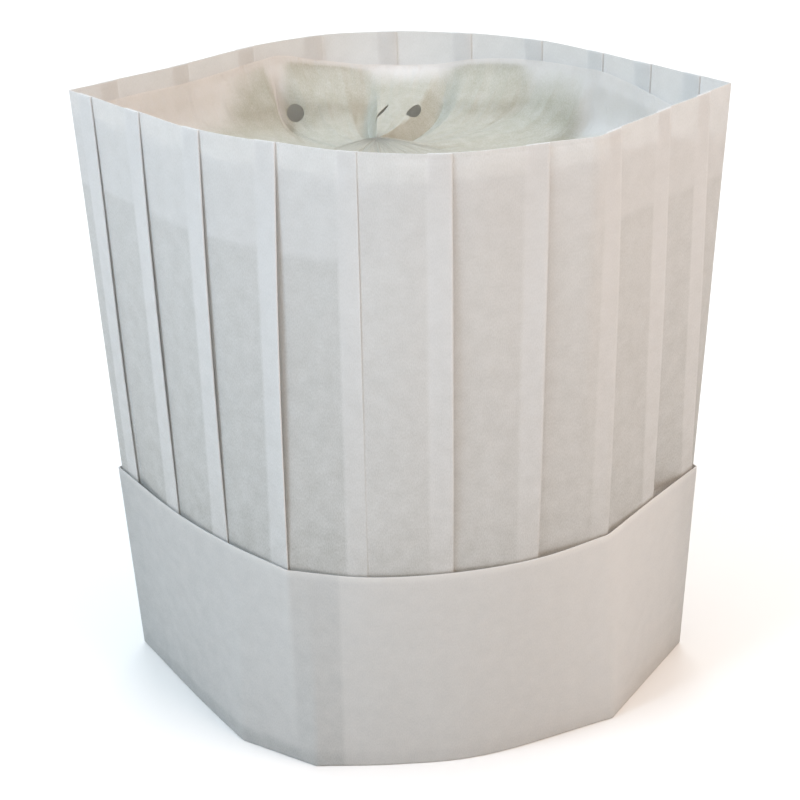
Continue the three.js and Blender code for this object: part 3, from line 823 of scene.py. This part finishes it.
def build_roof(context):
    """Roof: rings of one sheet from the skirt's foot over the edge to the knot, and back
    along its other face, with a cap at the knot on each face."""
    size = sizes(context)
    inset, half = size.depth + ROOF_CLEAR, size.sheet / 2
    round_it = np.append(round_the_hat(rim), rim.length)
    stations = len(round_it) - 1
    turns = np.linspace(0, LAST_TURN, RINGS)
    distance, turn = np.meshgrid(round_it[:-1], turns, indexing="ij")
    rings = roof_point(size, distance, turn, inset)
    start = distance[:, :1]
    foot_z = np.interp(start, *np.array(SKIRT_FOOT, float).T[:2])
    rise = np.linspace(0, 1, SKIRT_RINGS, endpoint=False)
    skirt_z = foot_z + (rings[:, :1, 2] - foot_z) * rise
    skirt = with_height(wall_point(size, start, roof_place(start), inset, skirt_z), skirt_z)
    middle = np.concatenate([skirt, rings], 1)
    around = np.roll(middle, -1, 0) - np.roll(middle, 1, 0)
    normal = unit(np.cross(around, np.gradient(middle, axis=1)))
    points = np.concatenate([middle + half * normal, (middle - half * normal)[:, ::-1]], 1)
    per_face, rows = middle.shape[1], points.shape[1]
    faces, corners = grid_quads(stations, rows, True, True)
    keep = corners[:, 0, 1] != per_face - 1
    faces, corners = faces[keep], corners[keep]
    steps = np.linalg.norm(np.diff(middle, axis=1), axis=2).mean(0)
    across = np.concatenate([[0], np.cumsum(steps)])
    across = crossing(np.concatenate([across, across[::-1]]))
    uv = cloth_place(round_it, across, corners)
    pole = stations * rows
    poles = np.array(KNOT) + [(0, 0, half), (0, 0, -half)]
    last = np.arange(stations) * rows + per_face - 1
    after = np.roll(last, -1)
    top_cap = np.stack([last, after, np.full(stations, pole)], 1)
    low_cap = np.stack([after + 1, last + 1, np.full(stations, pole + 1)], 1)
    cap_uv = np.stack([
        np.stack([round_it[:-1], round_it[1:], round_it[:-1]], 1),
        np.full((stations, 3), across[per_face - 1]),
    ], -1).reshape(-1, 2)
    # Painted light and shade of the roof: the skirt painted lit, the hanging sheet in painted
    # shade where it hangs free
    hanging = roof_painted_light(size, distance, turn, rings, inset)
    painted_light = np.concatenate([np.ones(skirt.shape[:2]), hanging], 1)
    painted_light = np.concatenate([painted_light, painted_light[:, ::-1]], 1)
    roof = make_object(
        "gathered_roof", np.vstack([points.reshape(-1, 3), poles]), [faces, top_cap, low_cap],
        np.vstack([uv, cap_uv, cap_uv]), {"painted_light": np.append(painted_light, [0, 0])},
    )
    punch_vents(size, roof, inset)
    return roof


def punch_vents(size, roof, inset):
    """Cuts each vent with a punch that stands square to the sheet there. Where a gather
    closes the hole, the punch is narrow across the way to the knot."""
    for number, (distance, turn, wide, long, lean) in enumerate(VENTS):
        near = np.array([
            (distance, turn), (distance + NEAR_ALONG, turn), (distance, turn - NEAR_TURN)
        ])
        centre, along, up = roof_point(size, *near.T, inset)
        normal = Vector(np.cross(along - centre, up - centre)).normalized()
        lengthwise = Vector(up - centre).normalized()
        across = lengthwise.cross(normal)
        bpy.ops.mesh.primitive_cylinder_add(
            vertices=PUNCH_SIDES, radius=size.vent / 2 * MM, depth=PUNCH_DEPTH * MM
        )
        punch = bpy.context.object
        axes = Matrix((across, lengthwise, normal)).transposed().to_4x4()
        leaning = Matrix.Rotation(math.radians(lean), 4, "Z")
        shape = axes @ leaning @ Matrix.Diagonal((wide, long, 1, 1))
        punch.matrix_world = Matrix.Translation((centre + SHIFT) * MM) @ shape
        cut = roof.modifiers.new(f"vent_{number}", "BOOLEAN")
        cut.operation, cut.solver, cut.object = "DIFFERENCE", "EXACT", punch
        with bpy.context.temp_override(object=roof, active_object=roof, selected_objects=[roof]):
            bpy.ops.object.modifier_apply(modifier=cut.name)
        bpy.data.objects.remove(punch)


def add(tree, kind, links=None, **settings):
    """Adds a node, sets its properties and sockets, and links other sockets to it."""
    node = tree.nodes.new(kind)
    for key, value in settings.items():
        if hasattr(node, key):
            setattr(node, key, value)
        else:
            node.inputs[key.replace("_", " ")].default_value = value
    for key, source in (links or {}).items():
        tree.links.new(source, node.inputs[key])
    return node


def nonwoven(name, light, dark, cloudiness, bump_height, thinness, wrinkle=0):
    """Non-woven viscose sheet, wet-laid and bonded: short fibres lie in clouds about 6 mm
    wide and in faint upright streaks. Its base colour mixes dark into light by the point
    values of painted light and shade: painted shade where the dark behind a single ply shows
    through, with the fibre specks strongest there, and painted light where plies lie on each
    other, which are an even, matt white. Fibres are 0.02 mm thick and are drawn 0.35 mm
    wide, which is the finest that shows. Wrinkles are 7 mm apart and 40 mm long. Heights are
    in millimetres, and thinness is the share of the light that comes through."""
    material = bpy.data.materials.new(name)
    material.use_nodes = True
    tree = material.node_tree
    tree.nodes.clear()
    cloth = add(tree, "ShaderNodeUVMap", uv_map="cloth")
    painted_light = add(tree, "ShaderNodeAttribute", attribute_name="painted_light")
    fibres = add(tree, "ShaderNodeMapping", {"Vector": cloth.outputs["UV"]}, Scale=FIBRES)
    fine = add(
        tree, "ShaderNodeTexNoise", {"Vector": fibres.outputs["Vector"]},
        Scale=1, Detail=3, Roughness=0.6, noise_dimensions="2D",
    )
    clouds = add(
        tree, "ShaderNodeTexNoise", {"Vector": cloth.outputs["UV"]},
        Scale=CLOUDS, Detail=4, Roughness=0.65, noise_dimensions="2D",
    )
    grain = add(
        tree, "ShaderNodeMix", {"A": fine.outputs["Fac"], "B": clouds.outputs["Fac"]}, Factor=0.4
    )
    centred = add(
        tree, "ShaderNodeMapRange", {"Value": grain.outputs["Result"]},
        From_Min=0.3, From_Max=0.7, To_Min=-cloudiness, To_Max=cloudiness, clamp=False,
    )
    # The fibre specks show most in the painted shade
    bare_painted_shade = add(
        tree, "ShaderNodeMapRange", {"Value": painted_light.outputs["Fac"]},
        From_Min=0, From_Max=1, To_Min=1, To_Max=0.3,
    )
    speck = add(
        tree, "ShaderNodeMath", operation="MULTIPLY",
        links={0: centred.outputs["Result"], 1: bare_painted_shade.outputs["Result"]},
    )
    whiteness = add(
        tree, "ShaderNodeMath", operation="ADD",
        links={0: painted_light.outputs["Fac"], 1: speck.outputs["Value"]},
    )
    # Base colour: the shaded colour dark mixed into the lit colour light by the painted light and
    # shade and the grain
    tint = add(tree, "ShaderNodeMix", data_type="RGBA", clamp_factor=False)
    tree.links.new(whiteness.outputs["Value"], tint.inputs["Factor"])
    tint.inputs["A"].default_value, tint.inputs["B"].default_value = dark, light
    normal = add(
        tree, "ShaderNodeBump", {"Height": grain.outputs["Result"]},
        Strength=0.35, Distance=bump_height * MM,
    ).outputs["Normal"]
    if wrinkle:
        creases = add(
            tree, "ShaderNodeMapping", {"Vector": cloth.outputs["UV"]}, Scale=WRINKLES
        )
        crumple = add(
            tree, "ShaderNodeTexNoise", {"Vector": creases.outputs["Vector"]},
            Scale=1, Detail=3, Roughness=0.55, noise_dimensions="2D",
        )
        normal = add(
            tree, "ShaderNodeBump", {"Height": crumple.outputs["Fac"], "Normal": normal},
            Strength=1, Distance=wrinkle * MM,
        ).outputs["Normal"]
    surface = {"Base Color": tint.outputs["Result"], "Normal": normal}
    shader = add(
        tree, "ShaderNodeBsdfPrincipled", surface,
        Roughness=0.85, IOR=1.47, Sheen_Weight=0.15, Sheen_Roughness=0.5,
    )
    shader.inputs["Specular IOR Level"].default_value = 0.25
    through = add(
        tree, "ShaderNodeBsdfTranslucent", {"Color": tint.outputs["Result"], "Normal": normal}
    )
    sheet = add(
        tree, "ShaderNodeMixShader", {1: shader.outputs["BSDF"], 2: through.outputs["BSDF"]}
    )
    sheet.inputs[0].default_value = thinness
    add(tree, "ShaderNodeOutputMaterial", {"Surface": sheet.outputs["Shader"]})
    return material


def dress(piece, node, material):
    """Gives a finished piece its material and its place in the frame, and hides the imported part
    it stands for.
    """
    piece.data.materials.append(material)
    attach(piece, "root")
    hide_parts(node)


class HAT_OT_wall(bpy.types.Operator):
    """Builds the pleated crown wall"""

    bl_idname = "hat.wall"
    bl_label = "Pleated wall"

    def execute(self, context):
        colours = context.scene.hat_colours
        size = sizes(context)
        cloth = nonwoven(
            "pleated non-woven sheet", colours.sheet_painted_lit, colours.sheet_painted_shaded,
            cloudiness=0.4, bump_height=0.08, thinness=0.36,
        )
        flat = (wall_path(size).along[-1] * MM, (size.hat_height - size.wall_foot) * MM)
        wall = build_wall(context)
        dress(wall, "crown_wall", cloth)
        return {"FINISHED"}


class HAT_OT_roof(bpy.types.Operator):
    """Builds the gathered roof inside the rim"""

    bl_idname = "hat.roof"
    bl_label = "Gathered roof"

    def execute(self, context):
        colours = context.scene.hat_colours
        cloth = nonwoven(
            "thin roof non-woven", colours.roof_painted_lit, colours.roof_painted_shaded,
            cloudiness=0.4, bump_height=0.05, thinness=0.5, wrinkle=1.2,
        )
        roof = build_roof(context)
        dress(roof, "crown_top", cloth)
        return {"FINISHED"}


class HAT_OT_band(bpy.types.Operator):
    """Builds the headband and its cuff"""

    bl_idname = "hat.band"
    bl_label = "Headband"

    def execute(self, context):
        colours = context.scene.hat_colours
        size = sizes(context)
        cloth = nonwoven(
            "doubled band non-woven", colours.band_painted_lit, colours.band_painted_shaded,
            cloudiness=0.25, bump_height=0.08, thinness=0.3,
        )
        band = build_band(context)
        dress(band, "headband", cloth)
        return {"FINISHED"}


class HAT_OT_stage(bpy.types.Operator):
    """Builds the floor, the soft light and the camera"""

    bl_idname = "hat.stage"
    bl_label = "Stage"

    def execute(self, context):
        scene, colours = context.scene, context.scene.hat_colours
        bpy.ops.mesh.primitive_plane_add(size=FLOOR_SIDE, location=(0, 0, 0))
        floor = context.object
        floor.name = "floor"
        # Matt emulsion on board: without gloss, so it shows only the hat's soft shadow
        paint = bpy.data.materials.new("matt painted board")
        paint.use_nodes = True
        board = paint.node_tree.nodes["Principled BSDF"]
        board.inputs["Base Color"].default_value = colours.floor
        board.inputs["Roughness"].default_value = 0.9
        floor.data.materials.append(paint)
        world = bpy.data.worlds.new("studio")
        world.use_nodes = True
        sky = world.node_tree.nodes["Background"]
        sky.inputs["Color"].default_value = colours.sky
        sky.inputs["Strength"].default_value = SKY_STRENGTH
        scene.world = world
        for name, place, aim, side, power, code in LIGHTS:
            lamp = bpy.data.lights.new(name, "AREA")
            lamp.shape, lamp.size = "SQUARE", side
            lamp.energy, lamp.color = power, linear(code)[:3]
            light = bpy.data.objects.new(name, lamp)
            light.location = place
            sight = Vector(aim) - Vector(place)
            light.rotation_euler = sight.to_track_quat("-Z", "Y").to_euler()
            scene.collection.objects.link(light)
        place_camera(scene)
        scene.view_settings.view_transform = "Standard"
        return {"FINISHED"}


def place_camera(scene):
    """Looks along +Y and down by the pitch, turned by the roll about the line of sight."""
    data = bpy.data.cameras.new("camera")
    data.lens, data.sensor_width = CAMERA_LENS, CAMERA_SENSOR
    data.clip_start, data.clip_end = 0.01, 50
    camera = bpy.data.objects.new("camera", data)
    scene.collection.objects.link(camera)
    place = Matrix.Translation(Vector((np.array(CAMERA_PLACE) + SHIFT) * MM))
    pitch = Matrix.Rotation(math.radians(90 - CAMERA_PITCH), 4, "X")
    camera.matrix_world = place @ pitch @ Matrix.Rotation(math.radians(-CAMERA_ROLL), 4, "Z")
    scene.camera = camera


OPERATORS = (HAT_OT_band, HAT_OT_wall, HAT_OT_roof, HAT_OT_stage)


class HAT_PT_panel(bpy.types.Panel):
    """Lists the hat's sizes, colours and builders"""

    bl_idname = "HAT_PT_panel"
    bl_label = "Chef Hat"
    bl_space_type = "VIEW_3D"
    bl_region_type = "UI"
    bl_category = "Chef Hat"

    def draw(self, context):
        for group in (context.scene.hat_sizes, context.scene.hat_colours):
            for name in group.__annotations__:
                self.layout.prop(group, name)
        for operator in OPERATORS:
            self.layout.operator(operator.bl_idname)


CLASSES = (HatSizes, HatColours, *OPERATORS, HAT_PT_panel)


def register():
    for cls in CLASSES:
        bpy.utils.register_class(cls)
    bpy.types.Scene.hat_sizes = PointerProperty(type=HatSizes)
    bpy.types.Scene.hat_colours = PointerProperty(type=HatColours)


def unregister():
    del bpy.types.Scene.hat_colours
    del bpy.types.Scene.hat_sizes
    for cls in reversed(CLASSES):
        bpy.utils.unregister_class(cls)


def main():
    register()
    bpy.ops.hat.band()
    bpy.ops.hat.wall()
    bpy.ops.hat.roof()
    bpy.ops.hat.stage()


if __name__ == "__main__":
    main()
